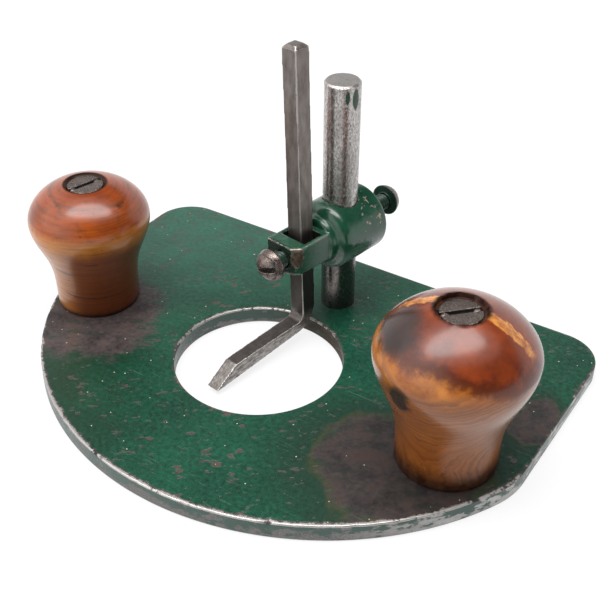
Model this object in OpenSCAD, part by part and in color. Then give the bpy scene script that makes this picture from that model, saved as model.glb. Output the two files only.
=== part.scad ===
// Hand router plane. A flat steel plate is pushed over the work by two turned
// knobs. A post behind the throat carries a sliding, swivelling tool holder
// that clamps an L-shaped cutter over the throat.
// Millimetres, +Z up. The origin is the middle of the plate, on its sole.

/* [Base plate] */
// Width of the plate, left to right
plate_w = 194.6; // [176:0.2:200]
// Depth of the plate, back edge to the foremost point of the curve
plate_d = 144.4; // [140:0.2:160]
// Thickness of the plate
plate_t = 6.4; // [5.6:0.1:8]
// Radius of the curved front edge
front_r = 103; // [102:1:130]
// Sideways offset of the front curve's centre, as the plate was cut by hand
front_x = 1.5; // [-2:0.1:2]
// Radius of the two back corners
back_corner_r = 15; // [6:1:30]
// Radius that blends each side into the front curve
side_blend_r = 30; // [10:1:40]
// Diameter of the throat hole
throat_d = 60; // [58:0.5:66]
// Sideways offset of the throat from the middle of the plate
throat_x = -4.6; // [-8:0.1:2]
// Fore and aft offset of the throat from the middle of the plate
throat_y = -1.2; // [-4:0.1:2]
// Worn chamfer round the rims of the throat
throat_arris = 0.6; // [0.2:0.1:1.2]

/* [Post] */
// Diameter of the post
post_d = 12.7; // [11:0.1:13.4]
// Height of the post above the plate
post_h = 90; // [70:1:110]
// Chamfer on the top of the post
post_chamfer = 0.7; // [0.4:0.1:2]
// Width of plate left between the throat and the post
post_land = 9.4; // [9:0.1:9.8]
// Diameter of the spigot that locates the post in the plate
spigot_d = 8; // [7.4:0.1:9]
// Diameter of the screw that holds the post from below
post_screw_d = 5; // [4:0.1:5.6]
// Head diameter of that screw
post_screw_head_d = 10.4; // [9.4:0.1:12]
// Depth of its counterbore in the sole
post_screw_sink = 3.2; // [2.4:0.1:3.6]
// Length of its thread inside the post
post_screw_grip = 9; // [6:0.5:16]

/* [Tool holder] */
// Height of the holder's axis above the plate, as it is clamped
holder_h = 33; // [30:0.5:40]
// Swivel of the holder on the post, towards the left knob
holder_swing = 10; // [4:0.5:12]
// Diameter of the round collar
collar_d = 25.6; // [24:0.2:28]
// Reach of the collar behind the post's axis
collar_back = 12; // [10:0.2:14]
// Reach of the collar in front of the post's axis
collar_front = 11; // [10:0.2:12]
// Rounding of the collar's front shoulder
shoulder_r = 3.4; // [1:0.1:3.8]
// Diameter of the ring between the collar and the block
ring_d = 18; // [17:0.1:18.4]
// Length of that ring
ring_len = 2.6; // [2:0.1:3.6]
// Rounding of the ring and of the cove behind it
ring_r = 1.2; // [0.6:0.1:1.4]
// Width of the slotted block
block_w = 14; // [13.4:0.1:15]
// Height of the slotted block
block_h = 11.4; // [10.6:0.1:13]
// Distance from the post's axis to the block's front face
block_front = 30.2; // [28.6:0.2:33]
// Diameter of the round underside of the block
block_round_d = 16.8; // [15.6:0.1:17.6]
// Size of the filed front corner of the block
block_filed = 2.8; // [0.6:0.1:3.2]
// Width of the slot for the cutter
slot_w = 10.6; // [10.6:0.1:11]
// Distance from the post's axis to the back wall of the slot
slot_back = 15.5; // [15.3:0.1:16.2]
// Length of the slot, fore and aft
slot_len = 8.9; // [7.4:0.1:10]

/* [Clamp screws] */
// Thread diameter of the two clamp screws
clamp_d = 6.35; // [5:0.05:7]
// Head diameter of the clamp screws
clamp_head_d = 11.8; // [9:0.1:12]
// Height of the round heads
clamp_head_h = 5.2; // [3.6:0.1:5.2]
// Width of the screwdriver slots in the clamp screws
clamp_slot_w = 1.9; // [1:0.1:2]
// Depth of the screwdriver slots in the clamp screws
clamp_slot_h = 2.4; // [1:0.1:2.6]
// Thread showing between the collar and the back screw's head
back_thread_gap = 13.8; // [6:0.2:18]
// Thread showing between the block and the front screw's head
front_thread_gap = 4.9; // [1:0.1:8]

/* [Cutter] */
// Size of the square bar
bar = 6.35; // [6:0.05:6.5]
// Height of the whole cutter, cutting edge to the top of the shank
cutter_h = 112; // [90:1:120]
// Length of the foot, from the front of the shank to the cutting edge
foot_len = 43.2; // [36:0.2:46]
// Length of the bevel ground on the end of the foot
bevel_len = 9.6; // [5:0.2:14]
// Thickness of the foot where the bevel starts
foot_t = 5.6; // [5:0.1:6]
// Thickness of the foot at the heel
heel_t = 4.2; // [4:0.1:5]
// Rise of the underside from the cutting edge to the heel
heel_rise = 3.6; // [3:0.1:4.4]
// Width of the foot at the cutting edge
edge_w = 5.4; // [4:0.1:6]
// Thickness of the cutting edge
edge_t = 0.4; // [0.2:0.1:1]
// Outer radius of the bend at the heel
heel_r = 10; // [9:0.1:11]
// Inner radius of the bend at the heel
heel_inner_r = 2.6; // [1:0.1:3]
// Chamfer on the hammered top of the shank
shank_chamfer = 1.2; // [0.4:0.1:2]
// Height of the cutting edge above the sole, as it is clamped
edge_clear = 1.6; // [1:0.1:3]
// Lean of the cutter in its loose slot
cutter_lean = 2; // [0:0.1:2.2]
// Sideways place of the cutter in its slot
cutter_side = -1.6; // [-1.8:0.1:1.6]

/* [Left knob] */
// Distance of the left knob's axis from the plate's left edge
left_knob_edge = 19; // [18:0.1:26]
// Fore and aft place of the left knob
left_knob_y = -3.1; // [-10:0.1:10]
// Waist diameter of the left knob
left_waist_d = 30.8; // [26:0.2:34]
// Height of the left knob's waist
left_waist_h = 3.4; // [2:0.1:8]
// Belly diameter of the left knob
left_belly_d = 44.2; // [38:0.2:48]
// Height of the left knob's widest place
left_belly_h = 35.2; // [30:0.2:40]
// Height of the left knob's crown, before it is bored
left_crown_h = 50.2; // [46:0.2:56]
// Squareness of the left knob's crown: 2 is an ellipse
left_crown_p = 1.93; // [1.6:0.01:2.6]
// Rise of the left knob's waist: larger keeps it slim for longer
left_waist_p = 1.65; // [1:0.01:2.2]
// Diameter of the counterbore in the left knob
left_recess_d = 15; // [14:0.1:18]
// Depth of the left screw's head below the counterbore's rim
left_screw_sink = 0.7; // [0.2:0.1:3]

/* [Right knob] */
// Distance of the right knob's axis from the plate's right edge
right_knob_edge = 23.8; // [20:0.1:28]
// Fore and aft place of the right knob
right_knob_y = -9.3; // [-14:0.1:10]
// Waist diameter of the right knob
right_waist_d = 33; // [28:0.2:36]
// Height of the right knob's waist
right_waist_h = 4.6; // [2:0.1:9]
// Belly diameter of the right knob
right_belly_d = 50.4; // [44:0.2:54]
// Height of the right knob's widest place
right_belly_h = 42; // [36:0.2:46]
// Height of the right knob's crown, before it is bored
right_crown_h = 59.2; // [54:0.2:66]
// Squareness of the right knob's crown: 2 is an ellipse
right_crown_p = 1.69; // [1.6:0.01:2.6]
// Rise of the right knob's waist: larger keeps it slim for longer
right_waist_p = 1.44; // [1:0.01:2.2]
// Diameter of the counterbore in the right knob
right_recess_d = 15.6; // [14:0.1:18]
// Depth of the right screw's head below the counterbore's rim
right_screw_sink = 1.3; // [0.2:0.1:3]

/* [Knob screws] */
// Thread diameter of the knob screws
knob_screw_d = 6.35; // [5:0.05:7]
// Head diameter of the knob screws
knob_head_d = 13; // [11:0.1:13.4]
// Height of the knob screws' heads
knob_head_h = 3.2; // [2.4:0.1:5]
// Width of the screwdriver slots in the knob screws
knob_slot_w = 1.8; // [1:0.1:2.4]
// Depth of the screwdriver slots in the knob screws
knob_slot_h = 1.4; // [0.8:0.1:1.8]
// Turn of the left screw's slot, from the plate's width
left_slot_turn = 75; // [0:1:180]
// Turn of the right screw's slot, from the plate's width
right_slot_turn = 46; // [0:1:180]
// Rounding of the knobs' bottom edges
knob_foot_r = 1.2; // [0.4:0.1:1.8]

/* [Fits] */
// Clearance at each side of a turned fit
fit = 0.05; // [0.02:0.01:0.1]
// Clearance at each side of a drilled clearance hole
loose = 0.4; // [0.3:0.05:0.6]

/* [Hidden] */
$fn = 96;
over = 1;
front_y = front_r - plate_d / 2;
post_y = throat_y + throat_d / 2 + post_land + post_d / 2;
left_knob_x = left_knob_edge - plate_w / 2;
right_knob_x = plate_w / 2 - right_knob_edge;
collar_r = collar_d / 2;
ring_end = collar_front + ring_len;
slot_front = slot_back + slot_len;
shank_front = slot_back + bar;
edge_at = shank_front + foot_len;
bevel_at = edge_at - bevel_len;
edge_y = edge_clear - plate_t - holder_h;
heel_y = edge_y + heel_rise;
top_y = edge_y + cutter_h;
chamfer_y = top_y - shank_chamfer;
foot_slope = heel_rise / (edge_at - slot_back - heel_r);
bevel_y = edge_y + foot_slope * bevel_len + foot_t;
back_head_at = collar_back + back_thread_gap;
front_head_at = block_front + front_thread_gap;
plate_green = [0.07, 0.21, 0.15];
bright_steel = [0.66, 0.66, 0.65];
dark_steel = [0.34, 0.32, 0.31];
left_wood = [0.66, 0.34, 0.13];
right_wood = [0.45, 0.22, 0.09];

// The sliver cut off where one side of the plate runs into the front curve.
module side_sliver(side) {
    reach = front_r - side_blend_r;
    x = side * (plate_w / 2 - side_blend_r);
    drop = sqrt(reach * reach - (x - front_x) * (x - front_x));
    y = front_y - drop;
    start = [side * plate_w / 2, y];
    end = [x, y] + [x - front_x, -drop] * side_blend_r / reach;
    difference() {
        polygon([start, [start.x + side * over, start.y], [start.x + side * over, end.y], end]);
        translate([x, y]) circle(side_blend_r);
    }
}

module plate_outline() {
    back_y = plate_d / 2;
    corner_x = plate_w / 2 - back_corner_r;
    difference() {
        intersection() {
            translate([front_x, front_y]) circle(front_r, $fn = 200);
            union() {
                translate([-plate_w / 2, -plate_d / 2 - over])
                    square([plate_w, plate_d + over - back_corner_r]);
                translate([-corner_x, 0]) square([2 * corner_x, back_y]);
                for (side = [-1, 1]) translate([side * corner_x, back_y - back_corner_r]) circle(back_corner_r);
            }
        }
        for (side = [-1, 1]) side_sliver(side);
    }
}

module base_plate() color(plate_green) difference() {
    linear_extrude(plate_t) plate_outline();
    translate([throat_x, throat_y, -over]) cylinder(d = throat_d, h = plate_t + 2 * over);
    for (top = [0, 1]) translate([throat_x, throat_y, top * plate_t]) mirror([0, 0, 1 - top])
        translate([0, 0, -throat_arris])
            cylinder(d1 = throat_d, d2 = throat_d + 4 * throat_arris, h = 2 * throat_arris);
    translate([0, post_y, -over]) cylinder(d = spigot_d + 2 * fit, h = plate_t + 2 * over);
    translate([0, post_y, -over]) cylinder(d = post_screw_head_d + 2 * loose, h = post_screw_sink + over);
    for (at = [[left_knob_x, left_knob_y], [right_knob_x, right_knob_y]])
        translate([at.x, at.y, -over]) cylinder(d = knob_screw_d + 2 * fit, h = plate_t + 2 * over);
}

module post() color(bright_steel) translate([0, post_y, 0]) difference() {
    union() {
        translate([0, 0, plate_t]) cylinder(d = post_d, h = post_h - post_chamfer);
        translate([0, 0, plate_t + post_h - post_chamfer])
            cylinder(d1 = post_d, d2 = post_d - 2 * post_chamfer, h = post_chamfer);
        translate([0, 0, post_screw_sink + fit]) cylinder(d = spigot_d, h = plate_t - post_screw_sink);
    }
    cylinder(d = post_screw_d + 2 * fit, h = plate_t + post_screw_grip + over);
}

module post_screw() color(dark_steel) translate([0, post_y, 0]) difference() {
    union() {
        translate([0, 0, loose]) cylinder(d = post_screw_head_d, h = post_screw_sink - loose);
        translate([0, 0, loose]) cylinder(d = post_screw_d, h = plate_t + post_screw_grip - loose);
    }
    translate([-post_screw_head_d, -clamp_slot_w / 2, -over])
        cube([2 * post_screw_head_d, clamp_slot_w, post_screw_sink / 2 + over]);
}

// The holder's own axes: X to the right, Y up, Z forward along the arm from
// the post's axis, at the height of the clamp screws.
module along_arm() translate([0, post_y, plate_t + holder_h]) rotate([90, 0, -holder_swing]) children();

// Turned outline of the collar and its ring: X is the radius, Y runs forward.
module holder_outline() {
    ring = ring_d / 2;
    difference() {
        translate([0, -collar_back]) square([collar_r, collar_back + collar_front]);
        translate([collar_r - shoulder_r, collar_front - shoulder_r]) difference() {
            square(shoulder_r + over);
            circle(shoulder_r);
        }
        translate([collar_r, -collar_back]) circle(ring_r / 2, $fn = 4);
    }
    difference() {
        square([ring, ring_end]);
        translate([ring - ring_r, ring_end - ring_r]) difference() {
            square(ring_r + over);
            circle(ring_r);
        }
    }
    difference() {
        translate([0, collar_front - ring_r]) square([ring + ring_r, 2 * ring_r]);
        translate([ring + ring_r, collar_front + ring_r]) circle(ring_r);
    }
}

module holder_block() difference() {
    intersection() {
        translate([-block_w / 2, -block_h / 2, 0]) cube([block_w, block_h, block_front]);
        union() {
            cylinder(d = block_round_d, h = block_front);
            translate([-block_w / 2, 0, 0]) cube([block_w, block_h, block_front]);
        }
    }
    translate([block_w / 2, -block_h, block_front - block_filed]) rotate([0, -45, 0])
        cube([block_w, 2 * block_h, block_w]);
}

module tool_holder() color(plate_green) along_arm() difference() {
    union() {
        rotate_extrude() holder_outline();
        holder_block();
    }
    rotate([90, 0, 0]) cylinder(d = post_d + 2 * fit, h = 2 * collar_d, center = true);
    translate([-slot_w / 2, -collar_d, slot_back]) cube([slot_w, 2 * collar_d, slot_len]);
    translate([0, 0, -collar_back - over]) cylinder(d = clamp_d + 2 * fit, h = collar_back + over);
    translate([0, 0, slot_back + over]) cylinder(d = clamp_d + 2 * fit, h = block_front - slot_back);
}

// Round-head slotted screw along +Z: the tip is at 0 and the head starts at grip.
module clamp_screw(grip, turn) {
    dome_r = (clamp_head_d * clamp_head_d / 4 + clamp_head_h * clamp_head_h) / (2 * clamp_head_h);
    tip = clamp_d / 8;
    difference() {
        union() {
            cylinder(d1 = clamp_d - 2 * tip, d2 = clamp_d, h = tip);
            translate([0, 0, tip]) cylinder(d = clamp_d, h = grip - tip);
            intersection() {
                translate([0, 0, grip]) cylinder(d = clamp_head_d, h = clamp_head_h);
                translate([0, 0, grip + clamp_head_h - dome_r]) sphere(dome_r);
            }
        }
        rotate([0, 0, turn]) translate([-clamp_head_d, -clamp_slot_w / 2, grip + clamp_head_h - clamp_slot_h])
            cube([2 * clamp_head_d, clamp_slot_w, clamp_slot_h + over]);
    }
}

module post_clamp_screw() color(dark_steel) along_arm() mirror([0, 0, 1])
    translate([0, 0, post_d / 2 + fit]) clamp_screw(back_head_at - post_d / 2 - fit, 20);

module cutter_clamp_screw() color(dark_steel) along_arm()
    translate([0, 0, shank_front]) clamp_screw(front_head_at - shank_front, 12);

// Side view of the cutter: X runs forward, Y up.
module cutter_side_view() {
    bend = [slot_back + heel_r, heel_y + heel_r];
    foot_top = heel_y + heel_t;
    difference() {
        union() {
            polygon([[slot_back, bend.y], [shank_front, bend.y], [shank_front, chamfer_y],
                [shank_front - shank_chamfer, top_y], [slot_back + shank_chamfer, top_y], [slot_back, chamfer_y]]);
            intersection() {
                translate(bend) circle(heel_r);
                translate([slot_back, heel_y]) square(heel_r);
            }
            polygon([[bend.x, heel_y], [edge_at, edge_y], [edge_at, edge_y + edge_t], [bevel_at, bevel_y],
                [bend.x, foot_top]]);
        }
        translate([shank_front + heel_inner_r, foot_top]) square([heel_r, heel_r + over]);
        translate([shank_front, foot_top + heel_inner_r]) square([heel_r, heel_r + over]);
        translate([shank_front + heel_inner_r, foot_top + heel_inner_r]) circle(heel_inner_r);
    }
}

module cutter() color(dark_steel) along_arm() translate([cutter_side, 0, 0]) rotate([0, 0, cutter_lean])
    intersection() {
        rotate([0, -90, 0]) linear_extrude(bar, center = true) cutter_side_view();
        rotate([90, 0, 0]) linear_extrude(2 * cutter_h, center = true)
            polygon([[-bar / 2, 0], [bar / 2, 0], [bar / 2, shank_front], [edge_w / 2, edge_at],
                [-edge_w / 2, edge_at], [-bar / 2, shank_front]]);
        linear_extrude(2 * edge_at)
            polygon([[-bar / 2, edge_y], [bar / 2, edge_y], [bar / 2, chamfer_y], [bar / 2 - shank_chamfer, top_y],
                [shank_chamfer - bar / 2, top_y], [-bar / 2, chamfer_y]]);
    }

// Radius of a knob's outline at a height between its foot and its belly.
function waist_at(h, waist_r, waist_h, belly_r, belly_h, power) = h < waist_h ? waist_r
    : waist_r + (belly_r - waist_r) * (1 - cos(180 * ((h - waist_h) / (belly_h - waist_h)) ^ power)) / 2;

// Height of the rim that a counterbore leaves on a knob's crown.
function rim_at(recess_r, belly_r, belly_h, crown_h, power) =
    belly_h + (crown_h - belly_h) * (1 - (recess_r / belly_r) ^ power) ^ (1 / power);

module turned_knob(waist_r, waist_h, belly_r, belly_h, crown_h, crown_p, waist_p, recess_r, floor_h) {
    steps = 18;
    rise = [for (i = [0 : steps - 1]) waist_h + (belly_h - waist_h) * i / steps];
    turn = [for (i = [0 : steps]) 90 * i / steps];
    difference() {
        rotate_extrude() polygon(concat(
            [[0, 0], [waist_r - knob_foot_r, 0], [waist_r, knob_foot_r]],
            [for (h = rise) [waist_at(h, waist_r, waist_h, belly_r, belly_h, waist_p), h]],
            [for (a = turn) [belly_r * cos(a) ^ (2 / crown_p),
                belly_h + (crown_h - belly_h) * sin(a) ^ (2 / crown_p)]]));
        translate([0, 0, floor_h]) cylinder(r = recess_r, h = crown_h);
        translate([0, 0, -over]) cylinder(d = knob_screw_d + 2 * loose, h = crown_h);
    }
}

// Slotted cheese-head screw that holds a knob: its head sits on floor_h above
// the plate and its thread ends just inside the sole.
module knob_screw(floor_h, turn) {
    head = plate_t + floor_h;
    difference() {
        union() {
            translate([0, 0, loose]) cylinder(d = knob_screw_d, h = head - loose + over);
            translate([0, 0, head]) cylinder(d = knob_head_d, h = knob_head_h);
        }
        rotate([0, 0, turn]) translate([-knob_head_d, -knob_slot_w / 2, head + knob_head_h - knob_slot_h])
            cube([2 * knob_head_d, knob_slot_w, knob_slot_h + over]);
    }
}

left_floor = rim_at(left_recess_d / 2, left_belly_d / 2, left_belly_h, left_crown_h, left_crown_p)
    - left_screw_sink - knob_head_h;
right_floor = rim_at(right_recess_d / 2, right_belly_d / 2, right_belly_h, right_crown_h, right_crown_p)
    - right_screw_sink - knob_head_h;

module left_knob() color(left_wood) translate([left_knob_x, left_knob_y, plate_t])
    turned_knob(left_waist_d / 2, left_waist_h, left_belly_d / 2, left_belly_h, left_crown_h,
        left_crown_p, left_waist_p, left_recess_d / 2, left_floor);

module left_knob_screw() color(dark_steel) translate([left_knob_x, left_knob_y, 0])
    knob_screw(left_floor, left_slot_turn);

module right_knob() color(right_wood) translate([right_knob_x, right_knob_y, plate_t])
    turned_knob(right_waist_d / 2, right_waist_h, right_belly_d / 2, right_belly_h, right_crown_h,
        right_crown_p, right_waist_p, right_recess_d / 2, right_floor);

module right_knob_screw() color(dark_steel) translate([right_knob_x, right_knob_y, 0])
    knob_screw(right_floor, right_slot_turn);

base_plate();
post();
post_screw();
tool_holder();
post_clamp_screw();
cutter_clamp_screw();
cutter();
left_knob();
left_knob_screw();
right_knob();
right_knob_screw();
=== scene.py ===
import functools
import math

import bmesh
import bpy
from mathutils import Matrix, Vector, noise


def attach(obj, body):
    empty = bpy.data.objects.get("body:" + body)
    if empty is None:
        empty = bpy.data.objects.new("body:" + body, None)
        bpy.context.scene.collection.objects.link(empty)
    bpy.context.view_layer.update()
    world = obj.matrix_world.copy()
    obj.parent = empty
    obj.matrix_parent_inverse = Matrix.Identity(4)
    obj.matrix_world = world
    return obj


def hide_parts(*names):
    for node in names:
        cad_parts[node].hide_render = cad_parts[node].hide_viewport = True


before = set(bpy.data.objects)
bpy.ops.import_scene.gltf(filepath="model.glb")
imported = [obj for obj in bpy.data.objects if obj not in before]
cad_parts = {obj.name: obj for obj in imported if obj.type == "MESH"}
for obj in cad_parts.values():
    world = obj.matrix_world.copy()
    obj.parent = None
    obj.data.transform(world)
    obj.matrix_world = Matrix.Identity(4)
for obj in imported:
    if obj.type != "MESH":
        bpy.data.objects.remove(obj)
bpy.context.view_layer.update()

# The base plate is quarter-inch steel, sawn and filed to a curved front, bored
# for the throat and brushed over with green enamel. Hands have rubbed it bare
# round the knobs, and its arrises are worn to the steel.
plate_half_width, plate_thick, back_edge = 97.3, 6.4, 72.2
front_radius, front_centre = 103.0, Vector((1.5, 30.8, 0))
back_corner, side_blend = 15.0, 30.0
throat_radius, throat_centre = 30.0, Vector((-4.6, -1.2, 0))
post_axis = Vector((0, 44.55, 0))
left_axis, right_axis = Vector((-78.3, -3.1, 0)), Vector((73.5, -9.3, 0))
spigot_hole, knob_screw_hole = 5.6, 3.25
arris_round, arris_margin = 0.6, 3.5
front_from, front_band, dent_depth = -20, 4, 0.4
nick, nick_reach = Vector((42.4, -63.7, plate_thick)), 2.1


def arc_on(bm, corner, centre, degrees, steps):
    """Carries an outline on round a centre, and gives the corner that it ends in."""
    made = bmesh.ops.spin(bm, geom=[corner], cent=centre, axis=(0, 0, 1),
                          angle=math.radians(degrees), steps=steps)
    return next(g for g in made["geom_last"] if isinstance(g, bmesh.types.BMVert))


def line_on(bm, corner, end):
    """Carries an outline on in a straight line, and gives the corner that it ends in."""
    made = bmesh.ops.extrude_vert_indiv(bm, verts=[corner])
    made["verts"][0].co = end
    return made["verts"][0]


def set_down(bm, name, body, node, slot, *finishes):
    """Closes a mesh drawn in millimetres and lets it stand for a solid, on that solid's body."""
    bmesh.ops.remove_doubles(bm, verts=bm.verts, dist=0.0005)
    bmesh.ops.recalc_face_normals(bm, faces=bm.faces)
    bmesh.ops.scale(bm, vec=(0.001, 0.001, 0.001), verts=bm.verts)
    mesh = bpy.data.meshes.new(name)
    bm.to_mesh(mesh)
    bm.free()
    for finish in finishes:
        mesh.materials.append(finish)
    mesh.shade_smooth()
    mesh.set_sharp_from_angle(angle=math.radians(40))
    piece = bpy.data.objects.new(name, mesh)
    bpy.context.scene.collection.objects.link(piece)
    even = piece.modifiers.new("even_shading", "WEIGHTED_NORMAL")
    even.keep_sharp = True
    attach(piece, body)
    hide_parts(node)
    return piece


bm = bmesh.new()
rub = bm.verts.layers.float.new("rub")
reach = front_radius - side_blend
blends = []
for side in (1, -1):
    across = side * (plate_half_width - side_blend) - front_centre.x
    drop = math.sqrt(reach * reach - across * across)
    blend_turn = math.degrees(math.atan2(drop, side * across))
    blends.append((front_centre + Vector((across, -drop, 0)), blend_turn))
(right_blend, right_turn), (left_blend, left_turn) = blends
corner_x, corner_y = plate_half_width - back_corner, back_edge - back_corner
start = bm.verts.new((plate_half_width, right_blend.y, 0))
end = arc_on(bm, start, right_blend, -right_turn, 14)
end = arc_on(bm, end, front_centre, right_turn + left_turn - 180, 170)
end = arc_on(bm, end, left_blend, -left_turn, 11)
end = line_on(bm, end, (-plate_half_width, corner_y, 0))
end = arc_on(bm, end, (-corner_x, corner_y, 0), -90, 16)
end = line_on(bm, end, (corner_x, back_edge, 0))
end = arc_on(bm, end, (corner_x, corner_y, 0), -90, 16)
bm.edges.new((end, start))
for centre, radius, steps in ((throat_centre, throat_radius, 144), (post_axis, spigot_hole, 32),
                              (left_axis, knob_screw_hole, 24), (right_axis, knob_screw_hole, 24)):
    bmesh.ops.create_circle(bm, segments=steps, radius=radius, matrix=Matrix.Translation(centre))
bmesh.ops.triangle_fill(bm, use_beauty=True, edges=bm.edges)
bmesh.ops.inset_region(bm, faces=bm.faces, thickness=arris_margin, use_boundary=True, use_even_offset=True)
made = bmesh.ops.extrude_face_region(bm, geom=bm.faces)
lifted = [g for g in made["geom"] if isinstance(g, bmesh.types.BMVert)]
bmesh.ops.translate(bm, vec=(0, 0, plate_thick), verts=lifted)
bmesh.ops.recalc_face_normals(bm, faces=bm.faces)
arrises = [e for e in bm.edges if e.calc_face_angle(0) > 1]
bmesh.ops.bevel(bm, geom=arrises, offset=arris_round, offset_type="OFFSET", affect="EDGES", segments=3,
                profile=0.5, material=-1)
bm.normal_update()
# The top, the edge and the sole each have a finish of their own.
for face in bm.faces:
    face.material_index = 0 if face.normal.z > 0.2 else 2 if face.normal.z < -0.2 else 1


def inward(point):
    """The level way from a point on the front curve to its centre."""
    return Vector((front_centre.x - point.x, front_centre.y - point.y, 0)).normalized()


# The rub attribute marks all that isn't flat. Knocks have dented the upper
# arris of the front curve, and nicked it once.
for vert in bm.verts:
    vert[rub] = float(any(abs(f.normal.z) < 0.99 for f in vert.link_faces))
    from_centre = (vert.co - front_centre).to_2d().length
    at_front = vert.co.y < front_from and from_centre > front_radius - front_band
    if vert[rub] and vert.co.z > plate_thick / 2 and at_front:
        broad_dent, small_dent = noise.noise(vert.co * 0.35), noise.noise(vert.co * 0.9) - 0.25
        dent = max(0, broad_dent) * dent_depth + max(0, small_dent) * dent_depth
        vert.co += inward(vert.co) * dent
        vert.co.z -= dent * 0.5
for vert in bm.verts:
    depth = 1 - (vert.co - nick).length / nick_reach
    if depth > 0:
        vert.co += inward(nick) * depth * 0.9
        vert.co.z -= depth


def linear(code):
    """Linear colour of an sRGB hex value."""
    parts = [int(code[i:i + 2], 16) / 255 for i in (0, 2, 4)]
    return [c / 12.92 if c < 0.04045 else ((c + 0.055) / 1.055) ** 2.4 for c in parts] + [1]


def add_node(tree, kind, *fed, **given):
    """Adds a node. Its kind may carry its way of working, as in Math.ADD or Mix.RGBA.
    What is fed goes to its inputs in order, and a key names a setting or an input.
    A node or an output that is given is linked."""
    kind, _, way = kind.partition(".")
    node = tree.nodes.new("ShaderNode" + kind)
    if way:
        setattr(node, {"Mix": "data_type", "MapRange": "interpolation_type"}.get(kind, "operation"), way)
    for key, value in [*enumerate(fed), *given.items()]:
        if hasattr(node, str(key)):
            setattr(node, key, value)
            continue
        if isinstance(key, int):
            socket = node.inputs[key]
        else:
            socket = next(s for s in node.inputs if s.name == key.replace("_", " ") and s.enabled)
        if isinstance(value, bpy.types.Node):
            value = next(o for o in value.outputs if o.enabled)
        if isinstance(value, bpy.types.NodeSocket):
            tree.links.new(value, socket)
        else:
            socket.default_value = value
    return node


def new_finish(name):
    """Starts an empty material, and gives it with the function that adds nodes to it."""
    finish = bpy.data.materials.new(name)
    finish.use_nodes = True
    finish.node_tree.nodes.clear()
    return finish, functools.partial(add_node, finish.node_tree)


to_mm = (1000, 1000, 1000)

# Enamel brushed on steel: an uneven dark green skin with a soft gloss, faint
# long scratches, chips down to brown steel, and olive stain where it thins.
plate_enamel, add = new_finish("brushed_green_enamel")
mm = add("Mapping", add("TexCoord").outputs["Object"], Scale=to_mm)
ragged = add("TexNoise", Vector=mm, Scale=1 / 9, Detail=6, Roughness=0.62)
broad = add("TexNoise", Vector=mm, Scale=1 / 17, Detail=2, Roughness=0.45)
fine = add("TexNoise", Vector=mm, Scale=1 / 1.6, Detail=4, Roughness=0.6)
wander = add("VectorMath.MULTIPLY_ADD", broad.outputs["Color"], (22, 22, 0), mm)
# Three ragged ovals are rubbed bare: by the left knob, in front of the right
# one and at the right edge.
rubs = []
for middle, spread in (((-65.5, -1, 0), (28, 26, 1e6)), ((75.5, -13, 0), (26.5, 23, 1e6)),
                       ((100, 31, 0), (8.5, 13, 1e6))):
    oval = add("Mapping", vector_type="TEXTURE", Vector=wander, Location=middle, Scale=spread)
    rubs.append(add("VectorMath.LENGTH", oval))
left_rub, front_rub, side_rub = rubs
right_rub = add("Math.MINIMUM", front_rub, side_rub)
smear_way = add("Mapping", vector_type="TEXTURE", Vector=mm, Rotation=(0, 0, 0.58), Scale=(2.8, 1, 1))
smear = add("TexNoise", Vector=smear_way, Scale=1 / 2.6, Detail=6, Roughness=0.6)
left_show = add("MapRange.SMOOTHSTEP", Value=add("Math.MULTIPLY_ADD", smear, 0.9, left_rub), From_Min=1.7,
    From_Max=1.3)
right_show = add("MapRange.SMOOTHSTEP", Value=add("Math.MULTIPLY_ADD", smear, 0.5, right_rub),
    From_Min=1.34, From_Max=1.12)
rubbed = add("Math.MAXIMUM", left_show, right_show)
halo_off = add("Math.ABSOLUTE", add("Math.SUBTRACT", right_rub, 1.0))
halo = add("MapRange.SMOOTHSTEP", Value=halo_off, From_Min=0.13, From_Max=0.02, To_Max=0.45)
# Chips are 1 to 3 mm long and lie at a slant across the plate.
chip_way = add("Mapping", vector_type="TEXTURE", Vector=mm, Rotation=(0, 0, 0.7), Scale=(2, 1, 1))
chip_cloud = add("TexNoise", Vector=chip_way, Scale=1 / 2, Detail=4, Roughness=0.6)
chip_cloud = add("Math.MULTIPLY_ADD", ragged, 0.5, chip_cloud)
chipped = add("MapRange.SMOOTHSTEP", Value=chip_cloud, From_Min=0.87, From_Max=0.93, To_Max=0.9)
# Pale specks are 0.5 mm across: two in five of the 3.2 mm cells hold one.
grit = add("TexVoronoi", Vector=mm, Scale=1 / 3.2)
grit_pick = add("Math.GREATER_THAN", add("SeparateColor", Color=grit.outputs["Color"]), 0.6)
grit_spot = add("Math.LESS_THAN", grit.outputs["Distance"], 0.075)
speck = add("Math.MULTIPLY", grit_pick, grit_spot)
scratch_way = add("Mapping", Vector=mm, Rotation=(0, 0, 0.35), Scale=(0.06, 1.7, 1))
scratch_lines = add("TexNoise", Vector=scratch_way, Scale=1, Detail=3, Roughness=0.7)
scratched = add("MapRange", Value=scratch_lines, From_Min=0.66, From_Max=0.76, To_Max=0.5)
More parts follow.
